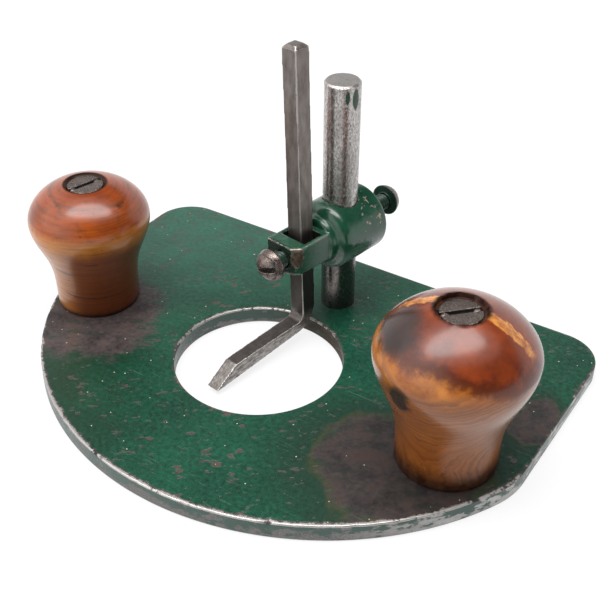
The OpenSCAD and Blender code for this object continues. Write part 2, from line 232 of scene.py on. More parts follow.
# The arris is worn bright, most at the front and at the throat's far left.
edge = add("Attribute", attribute_name="rub").outputs["Fac"]
toward = add("VectorMath.DOT_PRODUCT", mm, (0.1, -0.995, 0))
front_wear = add("MapRange", Value=toward, From_Min=-10, From_Max=50, To_Min=-0.6, To_Max=-0.3)
front_wear = add("Math.MULTIPLY_ADD", ragged, 0.9, front_wear)
near_rim = add("MapRange", Value=add("VectorMath.DISTANCE", mm, throat_centre), From_Min=33, From_Max=32)
far_rim = add("MapRange", Value=add("VectorMath.DOT_PRODUCT", mm, (-0.6, 0.8, 0)), From_Min=-6,
    From_Max=24, To_Min=-0.2, To_Max=0.2)
rim_wear = add("Math.MULTIPLY", near_rim, far_rim)
wear_more = add("Math.ADD", rim_wear, front_wear)
wear = add("Math.ADD", edge, add("Math.MULTIPLY_ADD", fine, 0.8, wear_more))
worn = add("MapRange.SMOOTHSTEP", Value=wear, From_Min=1.34, From_Max=1.48)
bared = add("MapRange.SMOOTHSTEP", Value=wear, From_Min=1.14, From_Max=1.33)
steel_show = add("Math.MAXIMUM", rubbed, add("Math.MAXIMUM", chipped, bared))
even = add("MapRange", Value=add("Math.MULTIPLY_ADD", fine, 0.9, add("Math.MULTIPLY", broad, 0.5)),
    From_Min=0.46, From_Max=0.95)
green = add("Mix.RGBA", Factor=even, A=linear("092c20"), B=linear("13523c"))
green = add("Mix.RGBA", Factor=scratched, A=green, B=linear("5c7a70"))
# Grime darkens the green in smears, mostly to the left. By the right knob the green is darkened as painted
# shade, and at the back left a painted sheen pales it a little.
leftward = add("MapRange", Value=add("SeparateXYZ", Vector=mm).outputs["X"], From_Min=20, From_Max=-60,
    To_Min=0.08, To_Max=0.48)
smeared = add("MapRange.SMOOTHSTEP", Value=add("Math.MULTIPLY_ADD", ragged, 0.6, smear), From_Min=0.78,
    From_Max=0.98)
green = add("Mix.RGBA", Factor=add("Math.MULTIPLY", smeared, leftward), A=green, B=linear("232b25"))
far_left = add("MapRange.SMOOTHSTEP", Value=add("VectorMath.DOT_PRODUCT", wander, (-0.8, -0.6, 0)),
    From_Min=20, From_Max=66, To_Max=0.75)
green = add("Mix.RGBA", Factor=far_left, A=green, B=linear("142f1e"))
# Painted sheen: the green is paled toward the back left, where the backdrop's glancing reflection falls.
painted_back_sheen = add("MapRange.SMOOTHSTEP", Value=add("VectorMath.DOT_PRODUCT", mm, (-0.8, 0.6, 0)), From_Min=25,
    From_Max=85, To_Max=0.08)
green = add("Mix.RGBA", Factor=painted_back_sheen, A=green, B=linear("6fa595"))
# Painted shade: the green is darkened round the right knob, on its shadow side.
shade_by_right_knob = add("MapRange.SMOOTHSTEP", Value=right_rub, From_Min=1.95, From_Max=1.1, To_Max=0.65)
green = add("Mix.RGBA", Factor=shade_by_right_knob, A=green, B=linear("1d2c24"))
brown = add("Mix.RGBA", Factor=add("MapRange", Value=add("Math.MULTIPLY_ADD", fine, 0.5, ragged),
    From_Min=0.55, From_Max=0.95), A=linear("2b2425"), B=linear("5d5352"))
rust = add("MapRange.SMOOTHSTEP", Value=ragged, From_Min=0.5, From_Max=0.64, To_Max=0.55)
brown = add("Mix.RGBA", Factor=rust, A=brown, B=linear("553c30"))
left_green = add("MapRange.SMOOTHSTEP", Value=smear, From_Min=0.52, From_Max=0.66, To_Max=0.6)
brown = add("Mix.RGBA", Factor=left_green, A=brown, B=linear("22372c"))
brown = add("Mix.RGBA", Factor=add("Math.MULTIPLY", right_show, 0.4), A=brown, B=linear("1b1917"))
colour = add("Mix.RGBA", Factor=halo, A=green, B=linear("403f20"))
colour = add("Mix.RGBA", Factor=steel_show, A=colour, B=brown)
colour = add("Mix.RGBA", Factor=speck, A=colour, B=linear("b9ad93"))
colour = add("Mix.RGBA", Factor=worn, A=colour, B=linear("b4b0ad"))
nicked = add("MapRange.SMOOTHSTEP", Value=add("VectorMath.DISTANCE", mm, nick), From_Min=1.7,
    From_Max=1.2, To_Max=0.92)
colour = add("Mix.RGBA", Factor=nicked, A=colour, B=linear("1c1714"))
worn = add("Math.SUBTRACT", worn, nicked, use_clamp=True)
metal = add("Mix", Factor=worn, A=add("Math.MULTIPLY", steel_show, 0.25), B=1.0)
rough = add("Mix", Factor=steel_show, A=add("MapRange", Value=fine, To_Min=0.24, To_Max=0.42), B=0.46)
sunk = add("Math.MULTIPLY_ADD", steel_show, -0.8, add("Math.ADD", fine, scratched))
relief = add("Bump", Height=sunk, Strength=0.5, Distance=0.00015)
skin = add("BsdfPrincipled", Base_Color=colour, Metallic=metal, Roughness=rough, Normal=relief,
    Specular_IOR_Level=0.4)
add("OutputMaterial", Surface=skin)

# Filed plate edge: grey-green enamel left in wide flakes and the rest rubbed
# to grey steel, palest on the right wall, with brown oil stain in the throat.
plate_edge, add = new_finish("filed_edge_with_worn_enamel")
mm = add("Mapping", add("TexCoord").outputs["Object"], Scale=to_mm)
flaked = add("TexNoise", Vector=add("Mapping", Vector=mm, Scale=(1, 1, 2.5)), Scale=1 / 7, Detail=6,
    Roughness=0.65)
grain = add("TexNoise", Vector=mm, Scale=1 / 0.7, Detail=4, Roughness=0.65)
in_throat = add("MapRange", Value=add("VectorMath.DISTANCE", mm, throat_centre), From_Min=33, From_Max=32,
    To_Max=0.07)
apart = add("SeparateXYZ", Vector=mm)
sideways, height = apart.outputs["X"], apart.outputs["Z"]
leftward = add("MapRange", Value=sideways, From_Min=70, From_Max=-50, To_Min=-0.07, To_Max=0.05)
high_up = add("MapRange", Value=height, From_Min=1.6, From_Max=3.4, To_Min=-0.04, To_Max=0.08)
kept = add("Math.ADD", high_up, add("Math.MAXIMUM", in_throat, leftward))
bare = add("MapRange.SMOOTHSTEP", Value=add("Math.SUBTRACT", flaked, kept), From_Min=0.43, From_Max=0.5)
steel = add("Mix.RGBA", Factor=grain, A=linear("413e3c"), B=linear("8e8c8a"))
rightward = add("MapRange", Value=sideways, From_Min=60, From_Max=94, To_Max=0.75)
rightward = add("Math.MULTIPLY", rightward, add("MapRange", Value=flaked, From_Min=0.35, From_Max=0.6,
    To_Min=0.35))
steel = add("Mix.RGBA", Factor=rightward, A=steel, B=linear("c3c2c0"))
colour = add("Mix.RGBA", Factor=bare, A=linear("2f483f"), B=steel)
throat_wall = add("MapRange", Value=in_throat, From_Max=0.07)
oily = add("MapRange", Value=sideways, From_Min=-24, From_Max=2)
oily = add("Math.MULTIPLY", oily, add("MapRange", Value=flaked, From_Min=0.32, From_Max=0.5, To_Min=0.3,
    To_Max=0.9))
oily = add("Math.MULTIPLY", oily, throat_wall)
colour = add("Mix.RGBA", Factor=oily, A=colour, B=linear("3d3025"))
nicked = add("MapRange.SMOOTHSTEP", Value=add("VectorMath.DISTANCE", mm, nick), From_Min=1.7,
    From_Max=1.2, To_Max=0.92)
colour = add("Mix.RGBA", Factor=nicked, A=colour, B=linear("1c1714"))
rough = add("Mix", Factor=oily, A=add("Mix", Factor=bare, A=0.3, B=0.42), B=0.65)
relief = add("Bump", Height=add("Math.SUBTRACT", grain, bare), Strength=0.5, Distance=0.00015)
metal = add("Math.SUBTRACT", add("Math.MULTIPLY", bare, 0.8), oily, use_clamp=True)
gloss = add("MapRange", Value=oily, To_Min=0.5, To_Max=0.1)
skin = add("BsdfPrincipled", Base_Color=colour, Metallic=metal, Roughness=rough, Normal=relief,
    Specular_IOR_Level=gloss)
add("OutputMaterial", Surface=skin)

# Rubbed steel sole: bare grey steel, scoured fore and aft by the work, with
# darker stains.
plate_sole, add = new_finish("scoured_steel")
mm = add("Mapping", add("TexCoord").outputs["Object"], Scale=to_mm)
scour = add("TexNoise", Vector=add("Mapping", Vector=mm, Scale=(2.5, 0.08, 1)), Scale=1, Detail=4,
    Roughness=0.6)
stain = add("TexNoise", Vector=mm, Scale=1 / 18, Detail=5)
steel = add("Mix.RGBA", Factor=scour, A=linear("5d5855"), B=linear("a6a29e"))
stained = add("MapRange.SMOOTHSTEP", Value=stain, From_Min=0.45, From_Max=0.65, To_Max=0.7)
colour = add("Mix.RGBA", Factor=stained, A=steel, B=linear("473a34"))
relief = add("Bump", Height=scour, Strength=0.4, Distance=0.0001)
skin = add("BsdfPrincipled", Base_Color=colour, Metallic=0.85,
    Roughness=add("MapRange", Value=stain, To_Min=0.3, To_Max=0.5), Normal=relief)
add("OutputMaterial", Surface=skin)
set_down(bm, "router_base_plate", "base", "base_plate", "green_paint",
         plate_enamel, plate_edge, plate_sole)

# The post is half-inch bright bar, shouldered into the plate and held from
# below by a sunk slotted screw. Its solid is right and keeps its shape.
post_top = max(v.co.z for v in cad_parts["post"].data.vertices) * 1000

# Drawn steel, once polished: bright streaks along the bar between dark rust pits, two dribbles of enamel
# near the top, painted shade below the holder, and fewer dark marks on its left side as a painted bright
# reflection.
post_steel, add = new_finish("pitted_bright_steel")
mm = add("Mapping", add("TexCoord").outputs["Object"],
    Location=(-post_axis.x, -post_axis.y, 0), Scale=to_mm)
along_bar = add("Mapping", Vector=mm, Scale=(1, 1, 0.5))
streak = add("TexNoise", Vector=along_bar, Scale=1 / 0.55, Detail=4, Roughness=0.65)
pits = add("TexNoise", Vector=add("Mapping", Vector=mm, Scale=(1, 1, 0.6)), Scale=1 / 0.75, Detail=4,
    Roughness=0.7)
broad = add("TexNoise", Vector=along_bar, Scale=1 / 6, Detail=4, Roughness=0.6)
height = add("SeparateXYZ", Vector=mm).outputs["Z"]
steel = add("Mix.RGBA", Factor=add("MapRange", Value=streak, From_Min=0.35, From_Max=0.65),
    A=linear("8d8885"), B=linear("dad6d3"))
pitted = add("MapRange.SMOOTHSTEP", Value=pits, From_Min=0.53, From_Max=0.64)
stained = add("MapRange.SMOOTHSTEP", Value=broad, From_Min=0.38, From_Max=0.62)
dark = add("Math.MULTIPLY", add("MapRange", Value=stained, To_Min=0.3, To_Max=0.75),
    add("MapRange", Value=pitted, To_Min=0.45, To_Max=1.0))
# Painted reflection: the pits and stains fade on the bar's left side, leaving a bright band.
bright_left_band = add("MapRange", Value=add("VectorMath.DOT_PRODUCT", mm, (-0.835, -0.55, 0)), From_Min=1,
    From_Max=5, To_Min=1.0, To_Max=0.4)
dark = add("Math.MULTIPLY", dark, bright_left_band)
colour = add("Mix.RGBA", Factor=dark, A=steel, B=linear("4d4744"))
# Painted shade: the bar is darkened below the holder.
shade_below_holder = add("MapRange.SMOOTHSTEP", Value=height, From_Min=40, From_Max=26, To_Max=0.7)
colour = add("Mix.RGBA", Factor=shade_below_holder, A=colour, B=linear("3c3632"))
drip_one = add("VectorMath.LENGTH", add("Mapping", vector_type="TEXTURE", Vector=mm,
    Location=(6.1, -1.6, 91.5), Scale=(1.5, 1.5, 4)))
drip_two = add("VectorMath.LENGTH", add("Mapping", vector_type="TEXTURE", Vector=mm,
    Location=(4.6, -4.3, 92.5), Scale=(0.9, 0.9, 2.6)))
drip = add("MapRange.SMOOTHSTEP", Value=add("Math.ADD", add("Math.MINIMUM", drip_one, drip_two),
    add("Math.MULTIPLY", pits, 0.7)), From_Min=1.4, From_Max=1.15)
on_top = add("MapRange", Value=height, From_Min=post_top - 0.2, From_Max=post_top - 0.1)
colour = add("Mix.RGBA", Factor=drip, A=colour, B=linear("183b2d"))
colour = add("Mix.RGBA", Factor=on_top, A=colour, B=add("Mix.RGBA", Factor=broad, A=linear("7f7a77"),
    B=linear("b3aeab")))
metal = add("Math.SUBTRACT", 1.0, drip)
rough = add("MapRange", Value=dark, To_Min=0.22, To_Max=0.46)
relief = add("Bump", Height=add("Math.SUBTRACT", streak, pitted), Strength=0.4, Distance=0.00006)
skin = add("BsdfPrincipled", Base_Color=colour, Metallic=metal, Roughness=rough, Normal=relief)
add("OutputMaterial", Surface=skin)
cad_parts["post"].data.materials.clear()
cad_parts["post"].data.materials.append(post_steel)


# The screw that holds the post up from below is a slotted cheese-head, let
# into the sole. It is oiled dark steel, as the other screws are.
def merged_copy(node):
    """A copy of a solid in millimetres, with its loose triangles merged."""
    bm = bmesh.new()
    bm.from_mesh(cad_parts[node].data)
    bmesh.ops.scale(bm, vec=to_mm, verts=bm.verts)
    bmesh.ops.remove_doubles(bm, verts=bm.verts, dist=0.001)
    return bm


def worn_copy(node, radius):
    """A merged copy of a solid, with its sharp edges rounded over."""
    bm = merged_copy(node)
    bmesh.ops.dissolve_limit(bm, angle_limit=0.01, verts=bm.verts, edges=bm.edges)
    sharp = [e for e in bm.edges if e.calc_face_angle(0) > 0.5]
    bmesh.ops.bevel(bm, geom=sharp, offset=radius, offset_type="OFFSET", affect="EDGES", segments=2,
                    profile=0.5, material=-1)
    return bm


# Old machine screw steel: brown-grey, mottled with darker grime and scored
# bright in places.
dark_screw, add = new_finish("oiled_dark_steel")
mm = add("Mapping", add("TexCoord").outputs["Object"], Scale=to_mm)
grime = add("TexNoise", Vector=mm, Scale=1 / 2.5, Detail=6, Roughness=0.65)
grit = add("TexNoise", Vector=mm, Scale=1 / 0.5, Detail=3, Roughness=0.6)
dirt = add("MapRange.SMOOTHSTEP", Value=grime, From_Min=0.38, From_Max=0.62)
score = add("TexNoise", Vector=add("Mapping", vector_type="TEXTURE", Vector=mm, Rotation=(0, 0.6, 0),
    Scale=(5, 1, 0.35)), Detail=3, Roughness=0.6)
scored = add("MapRange.SMOOTHSTEP", Value=score, From_Min=0.52, From_Max=0.64, To_Max=0.6)
steel = add("Mix.RGBA", Factor=grit, A=linear("50443f"), B=linear("887a73"))
colour = add("Mix.RGBA", Factor=dirt, A=steel, B=linear("3f302a"))
colour = add("Mix.RGBA", Factor=scored, A=colour, B=linear("c4bcb7"))
metal = add("MapRange", Value=dirt, To_Min=0.95, To_Max=0.6)
rough = add("MapRange", Value=dirt, To_Min=0.2, To_Max=0.38)
relief = add("Bump", Height=add("Math.SUBTRACT", add("Math.ADD", grit, grime), scored), Strength=0.4,
    Distance=0.00008)
skin = add("BsdfPrincipled", Base_Color=colour, Metallic=metal, Roughness=rough, Normal=relief)
add("OutputMaterial", Surface=skin)
bm = worn_copy("post_screw", radius=0.2)
set_down(bm, "post_sole_screw", "column", "post_screw", "screw_steel", dark_screw)

# The tool holder is a turned steel collar with a filed, slotted block, bored
# to slide on the post and enamelled like the plate, so its edges look soft.
all_ways = {"use_axis_x": True, "use_axis_y": True, "use_axis_z": True}
arm_swing, arm_height = math.radians(10), 39.4
arm = Vector((-math.sin(arm_swing), -math.cos(arm_swing), 0))
arm_foot = post_axis + Vector((0, 0, arm_height))
filed_corner, filed_half_height, filed_passes = Vector((0.9, 14.6, 39)), 4.4, 12


def soft_copy(node, grid, passes):
    """A merged copy of a solid, closed again on a fine grid and eased.
    Its rub attribute is high on outer edges."""
    merged = merged_copy(node)
    sharp_mesh = bpy.data.meshes.new(node + "_sharp")
    merged.to_mesh(sharp_mesh)
    merged.free()
    sharp = bpy.data.objects.new(node + "_sharp", sharp_mesh)
    bpy.context.scene.collection.objects.link(sharp)
    closing = sharp.modifiers.new("closing", "REMESH")
    closing.mode, closing.voxel_size = "VOXEL", grid
    shown = sharp.evaluated_get(bpy.context.evaluated_depsgraph_get())
    soft_mesh = bpy.data.meshes.new_from_object(shown)
    bm = bmesh.new()
    bm.from_mesh(soft_mesh)
    rub = bm.verts.layers.float.new("rub")
    for _ in range(passes):
        bmesh.ops.smooth_vert(bm, verts=bm.verts, factor=0.5, **all_ways)
    bm.normal_update()
    for vert in bm.verts:
        middle = sum((e.other_vert(vert).co for e in vert.link_edges), Vector()) / len(vert.link_edges)
        vert[rub] = max(0, min(1, (vert.co - middle).dot(vert.normal) / grid * 9))
    bpy.data.objects.remove(sharp)
    bpy.data.meshes.remove(sharp_mesh)
    bpy.data.meshes.remove(soft_mesh)
    return bm


# Thicker, glossier enamel than on the plate: runs and dimples catch the light, and knocks have chipped it to
# pale primer and brown steel. The arm's side and the barrel's underside are paled as a painted reflection of
# the paper.
holder_enamel, add = new_finish("chipped_green_enamel")
mm = add("Mapping", add("TexCoord").outputs["Object"], Scale=to_mm)
runs = add("TexNoise", Vector=mm, Scale=1 / 4, Detail=3, Roughness=0.5)
fine = add("TexNoise", Vector=mm, Scale=1 / 1.1, Detail=5, Roughness=0.62)
edge = add("Attribute", attribute_name="rub").outputs["Fac"]
knocked = add("VectorMath.DISTANCE", mm, (10.2, 50.9, 48.4))
filed = add("VectorMath.LENGTH", add("Mapping", vector_type="TEXTURE", Vector=mm,
    Location=(1.6, 14.6, 41), Scale=(3.6, 3.6, 5.4)))
near_knocks = add("MapRange.SMOOTHSTEP", Value=knocked, From_Min=12, From_Max=4, To_Max=0.13)
near_file = add("MapRange.SMOOTHSTEP", Value=filed, From_Min=1.3, From_Max=0.4, To_Max=0.34)
worst = add("Math.ADD", near_file, add("Math.MULTIPLY_ADD", edge, 0.24, fine))
knocks = add("Math.ADD", near_knocks, add("TexNoise", Vector=mm, Scale=1 / 2.6, Detail=5, Roughness=0.55))
chipped = add("MapRange.SMOOTHSTEP", Value=add("Math.MAXIMUM", worst, knocks), From_Min=0.7,
    From_Max=0.74)
green = add("Mix.RGBA", Factor=runs, A=linear("0c2f20"), B=linear("185039"))
bright = add("MapRange", Value=worst, From_Min=0.66, From_Max=0.95)
knock = add("Mix.RGBA", Factor=add("MapRange", Value=knocks, From_Min=0.6, From_Max=0.8),
    A=linear("5b4a3e"), B=linear("a89a8a"))
knock = add("Mix.RGBA", Factor=bright, A=knock, B=linear("bcb4ac"))
knock = add("Mix.RGBA", Factor=add("MapRange", Value=near_file, From_Max=0.3), A=knock,
    B=add("Mix.RGBA", Factor=add("MapRange", Value=fine, From_Min=0.35, From_Max=0.65),
    A=linear("372a22"), B=linear("75604f")))
from_post = add("VectorMath.SUBTRACT", mm, post_axis)
forward = add("VectorMath.DOT_PRODUCT", from_post, arm)
aside = add("VectorMath.DOT_PRODUCT", from_post, Vector((-arm.y, arm.x, 0)))
# Painted reflection: the barrel's underside and the arm's side are paled, as if they mirrored the paper.
barrel_low = add("VectorMath.DOT_PRODUCT", add("VectorMath.SUBTRACT", mm, arm_foot), (0.59, -0.1, -0.8))
pale_wash = add("MapRange.SMOOTHSTEP", Value=add("Math.MULTIPLY_ADD", fine, 5.0, barrel_low), From_Min=9.5,
    From_Max=14.5, To_Max=0.45)
arm_side = add("Math.MULTIPLY", add("MapRange", Value=aside, From_Min=6.0, From_Max=7.0, To_Max=0.7),
    add("MapRange.SMOOTHSTEP", Value=add("Math.MULTIPLY_ADD", fine, 8.0, forward), From_Min=34,
    From_Max=18))
arm_side = add("Math.MULTIPLY", arm_side, add("MapRange.SMOOTHSTEP", Value=forward, From_Min=13.2,
    From_Max=14.4))
pale_wash = add("Math.MAXIMUM", pale_wash, arm_side)
green = add("Mix.RGBA", Factor=pale_wash, A=green, B=linear("7b8a82"))
colour = add("Mix.RGBA", Factor=chipped, A=green, B=knock)
# The slot, whose middle is 19.95 mm from the post, is painted nearly black inside as shade in its depth, and
# the block's front is painted dark as shade from the front screw's head.
within = add("Math.MAXIMUM", add("Math.ABSOLUTE", aside),
    add("Math.ABSOLUTE", add("Math.MULTIPLY_ADD", forward, 1.19, -23.74)))
# Painted shade: the inside of the slot is darkened nearly to black.
lined = add("MapRange.SMOOTHSTEP", Value=within, From_Min=5.6, From_Max=5.3, To_Max=0.85)
# Painted shade: the block's front face is darkened round the front screw's head.
front_face_shade = add("MapRange.SMOOTHSTEP", Value=add("Math.MULTIPLY_ADD", fine, 0.8, forward), From_Min=29.2,
    From_Max=30.4, To_Max=0.7)
colour = add("Mix.RGBA", Factor=add("Math.MAXIMUM", lined,
    add("Math.MULTIPLY", front_face_shade, add("Math.SUBTRACT", 1.0, chipped))), A=colour, B=linear("1b1512"))
rough = add("Mix", Factor=chipped, A=add("MapRange", Value=runs, To_Min=0.1, To_Max=0.26), B=0.42)
relief = add("Bump", Height=add("Math.SUBTRACT", add("Math.MULTIPLY", runs, 1.4), chipped), Strength=0.5,
    Distance=0.00016)
skin = add("BsdfPrincipled", Base_Color=colour, Metallic=add("Math.MULTIPLY", chipped, 0.7),
    Roughness=rough, Normal=relief, IOR=1.6)
add("OutputMaterial", Surface=skin)
bm = soft_copy("tool_holder", grid=0.3, passes=4)
rub = bm.verts.layers.float["rub"]
# One front corner of the block is filed off and rounded, so it is eased most.
for reach in (4.8, 4.2, 3.6):
    near = [v for v in bm.verts if (v.co - filed_corner).to_2d().length < reach]
    for _ in range(filed_passes):
        bmesh.ops.smooth_vert(bm, verts=near, factor=0.5, **all_ways)
for vert in near:
    if abs(vert.co.z - arm_height) < filed_half_height:
        vert[rub] *= 0.2
set_down(bm, "sliding_tool_holder", "holder", "tool_holder", "green_paint", holder_enamel)

# The two clamp screws are old round-head slotted screws, quarter-inch with
# twenty threads to the inch. One grips the post and the other the cutter.
screw_radius, thread_pitch, thread_steps = 3.175, 1.27, 36
thread_root, thread_crest = screw_radius - 0.75, screw_radius - 0.08
core_at_head, thread_run_out, shank_left = screw_radius - 0.62, 0.9, 0.5
slot_above_seat = 2.75

# Dirt packed in a screw's slot, painted nearly black as shade in its depth: matt, with paler crumbs.
screw_slot, add = new_finish("grime_and_shade_in_slot")
mm = add("Mapping", add("TexCoord").outputs["Object"], Scale=to_mm)
crumbs = add("TexNoise", Vector=mm, Scale=1 / 0.8, Detail=4, Roughness=0.65)
colour = add("Mix.RGBA", Factor=add("MapRange", Value=crumbs, From_Min=0.4, From_Max=0.75),
    A=linear("0a0807"), B=linear("33291f"))
skin = add("BsdfPrincipled", Base_Color=colour, Roughness=0.9,
    Normal=add("Bump", Height=crumbs, Strength=0.6, Distance=0.0002))
add("OutputMaterial", Surface=skin)


def fill_slot(bm, out, floor):
    """Gives a screw's slot the second material. Its floor lies just past a height along the screw,
    and its walls lie above that and face across the screw."""
    bm.normal_update()
    for face in bm.faces:
        up = face.calc_center_median().dot(out)
        if up > floor and (abs(face.normal.dot(out)) < 0.05 or up < floor + 0.1):
            face.material_index = 1


# Enamel that ran into the threads: nearly black green, dull in patches.
screw_paint, add = new_finish("enamel_on_threads")
mm = add("Mapping", add("TexCoord").outputs["Object"], Scale=to_mm)
clot = add("TexNoise", Vector=mm, Scale=1 / 1.5, Detail=4)
colour = add("Mix.RGBA", Factor=clot, A=linear("0c2219"), B=linear("1f3f31"))
skin = add("BsdfPrincipled", Base_Color=colour, Roughness=add("MapRange", Value=clot, To_Min=0.25,
    To_Max=0.5), Normal=add("Bump", Height=clot, Strength=0.4, Distance=0.0001))
add("OutputMaterial", Surface=skin)
for node, name, body, out, tip_at, head_at in (
        ("post_clamp_screw", "rear_clamp_screw", "post_clamp", -arm, 6.4, 25.8),
        ("cutter_clamp_screw", "front_clamp_screw", "cutter_clamp", arm, 21.95, 35.1)):
    bm = worn_copy(node, radius=0.3)
    bmesh.ops.bisect_plane(bm, geom=bm.verts[:] + bm.edges[:] + bm.faces[:],
                           plane_co=arm_foot + out * (head_at - shank_left), plane_no=out, clear_inner=True)
    turned = Vector((0, 0, 1)).rotation_difference(out).to_matrix().to_4x4()
    along = Matrix.Translation(arm_foot) @ turned
    middle = Matrix.Translation((0, 0, (head_at + tip_at) / 2))
    bmesh.ops.create_cone(bm, cap_ends=True, segments=40, radius1=thread_root, radius2=core_at_head,
                          depth=head_at - tip_at, matrix=along @ middle)
    tooth = ((thread_root, 0), (thread_crest, 0.52), (thread_crest, 0.7), (thread_root, 1.2))
    points = [bm.verts.new(along @ Vector((r, 0, tip_at + z))) for r, z in tooth]
    edges = [bm.edges.new(points[i:i + 2]) for i in range(3)]
    turns = (head_at - tip_at - thread_run_out) / thread_pitch
    bmesh.ops.spin(bm, geom=points + edges, cent=along.translation, axis=out,
                   dvec=out * (thread_pitch / thread_steps), angle=math.tau * turns,
                   steps=int(thread_steps * turns))
    fill_slot(bm, out, arm_foot.dot(out) + head_at + slot_above_seat)
    # Enamel is on the threads, and under the rear screw's head.
    for face in bm.faces:
        below_head = (face.calc_center_median() - arm_foot).dot(out) < head_at
        if below_head or out.y > 0 and face.normal.dot(out) < -0.2:
            face.material_index = 2
    set_down(bm, name, body, node, "screw_steel", dark_screw, screw_slot, screw_paint)

# The cutter is quarter-inch square tool steel, cranked into a foot that is
# ground to a bevel. The front clamp screw holds it in the block's slot.
bevel_from = post_axis.dot(arm) + 54.6
set_forward = 0.05

# Forged and hardened steel: a dark grey-brown skin with fine draw marks, bright where its arrises rub,
# darker below the block, pale on the foot's sides as a painted reflection of the paper, and scuffed pale on
# its bevel.
cutter_steel, add = new_finish("forged_tool_steel")
mm = add("Mapping", add("TexCoord").outputs["Object"], Scale=to_mm)
drawn = add("TexNoise", Vector=add("Mapping", Vector=mm, Scale=(1, 1, 0.35)), Scale=1 / 2.4, Detail=6,
    Roughness=0.62)
fine = add("TexNoise", Vector=mm, Scale=1 / 0.6, Detail=4, Roughness=0.65)
edge = add("Attribute", attribute_name="rub").outputs["Fac"]
height = add("SeparateXYZ", Vector=mm).outputs["Z"]
facing = add("SeparateXYZ", Vector=add("NewGeometry").outputs["Normal"]).outputs["Z"]
outward = add("VectorMath.DOT_PRODUCT", mm, arm)
# Painted reflection: the foot's side faces are paled, as if they mirrored the paper.
foot_side_sheen = add("Math.MULTIPLY", add("MapRange.SMOOTHSTEP", Value=height, From_Min=14, From_Max=9),
    add("MapRange.SMOOTHSTEP", Value=facing, From_Min=0.6, From_Max=0.3))
ground = add("MapRange.SMOOTHSTEP", Value=outward, From_Min=bevel_from, From_Max=bevel_from + 1)
pale = add("Math.MAXIMUM", foot_side_sheen, add("Math.MULTIPLY", ground, 0.5))
streaky = add("TexNoise", Vector=add("Mapping", vector_type="TEXTURE", Vector=mm, Rotation=(0, 0, 1.4),
    Scale=(3.5, 1, 1)), Scale=1 / 0.8, Detail=5, Roughness=0.65)
pale_wash = add("Math.MULTIPLY", pale, add("MapRange", Value=streaky, From_Min=0.38, From_Max=0.62,
    To_Min=0.05, To_Max=0.8))
rubbed = add("MapRange.SMOOTHSTEP", Value=add("Math.MULTIPLY_ADD", fine, 0.9, edge), From_Min=0.8,
    From_Max=1.2, To_Max=0.85)
steel = add("Mix.RGBA", Factor=add("MapRange", Value=drawn, From_Min=0.3, From_Max=0.7),
    A=linear("625a55"), B=linear("88817d"))
# The shank is darker below the block, and half as much darker at the foot.
darker_below_block = add("MapRange.SMOOTHSTEP", Value=height, From_Min=42, From_Max=34, To_Max=0.8)
darker_below_block = add("Math.MULTIPLY", darker_below_block, add("MapRange", Value=height, From_Min=9, From_Max=14, To_Min=0.5))
steel = add("Mix.RGBA", Factor=darker_below_block, A=steel, B=linear("322d2b"))
colour = add("Mix.RGBA", Factor=add("Math.MAXIMUM", pale_wash, rubbed), A=steel, B=linear("b4b0ac"))
relief = add("Bump", Height=add("Math.ADD", drawn, fine), Strength=0.45, Distance=0.00012)
skin = add("BsdfPrincipled", Base_Color=colour, Metallic=0.95,
    Roughness=add("MapRange", Value=fine, To_Min=0.3, To_Max=0.5), Normal=relief)
add("OutputMaterial", Surface=skin)
bm = soft_copy("cutter", grid=0.3, passes=3)
# The eased copy stands a hair forward in the slot.
bmesh.ops.translate(bm, vec=arm * set_forward, verts=bm.verts)
set_down(bm, "cranked_cutter", "tool", "cutter", "tool_steel", cutter_steel)


# The knobs are turned wood, each held down by a long cheese-head screw sunk in
# its crown. They don't match: the left one is smaller and redder.
knob_shank_hole, knob_head_bore = 3.6, 6.56
waist_steps, crown_steps = 40, 60


def turn_knob(axis, waist, waist_up, belly, belly_up, crown_up, crown_power, waist_power,
              bore, floor_up, screw_up):
    """Spins a knob's outline from its formulas, hollow for the screw.
    Old dirt is packed from the bore's lip to the screw's head."""
    outline = [(knob_shank_hole, 0), (waist - 1.2, 0), (waist - 0.35, 0.35), (waist, 1.2)]
    for i in range(waist_steps):
        part = i / waist_steps
        swell = (1 - math.cos(math.pi * part ** waist_power)) / 2
        outline.append((waist + (belly - waist) * swell, waist_up + (belly_up - waist_up) * part))
    for i in range(crown_steps):
        turn = math.pi / 2 * i / crown_steps
        radius = belly * math.cos(turn) ** (2 / crown_power)
        rise = math.sin(turn) ** (2 / crown_power)
        if radius > bore + 0.5:
            outline.append((radius, belly_up + (crown_up - belly_up) * rise))
    lip = belly_up + (crown_up - belly_up) * (1 - (bore / belly) ** crown_power) ** (1 / crown_power)
    outline += [(bore + 0.25, lip - 0.12), (bore, lip - 0.4), (bore - 0.35, screw_up - 0.2),
                (knob_head_bore, screw_up - 0.5), (knob_head_bore, floor_up), (knob_shank_hole, floor_up)]
    bm = bmesh.new()
    points = [bm.verts.new((axis.x + r, axis.y, plate_thick + h)) for r, h in outline]
    edges = [bm.edges.new((a, b)) for a, b in zip(points, points[1:] + points[:1])]
    bmesh.ops.spin(bm, geom=points + edges, cent=axis, axis=(0, 0, 1), angle=math.tau,
                   steps=144, use_merge=True)
    return bm


bm = turn_knob(left_axis, waist=15.4, waist_up=3.4, belly=22.1, belly_up=35.2, crown_up=50.2,
               crown_power=1.93, waist_power=1.65, bore=7.5, floor_up=45.3, screw_up=48.5)
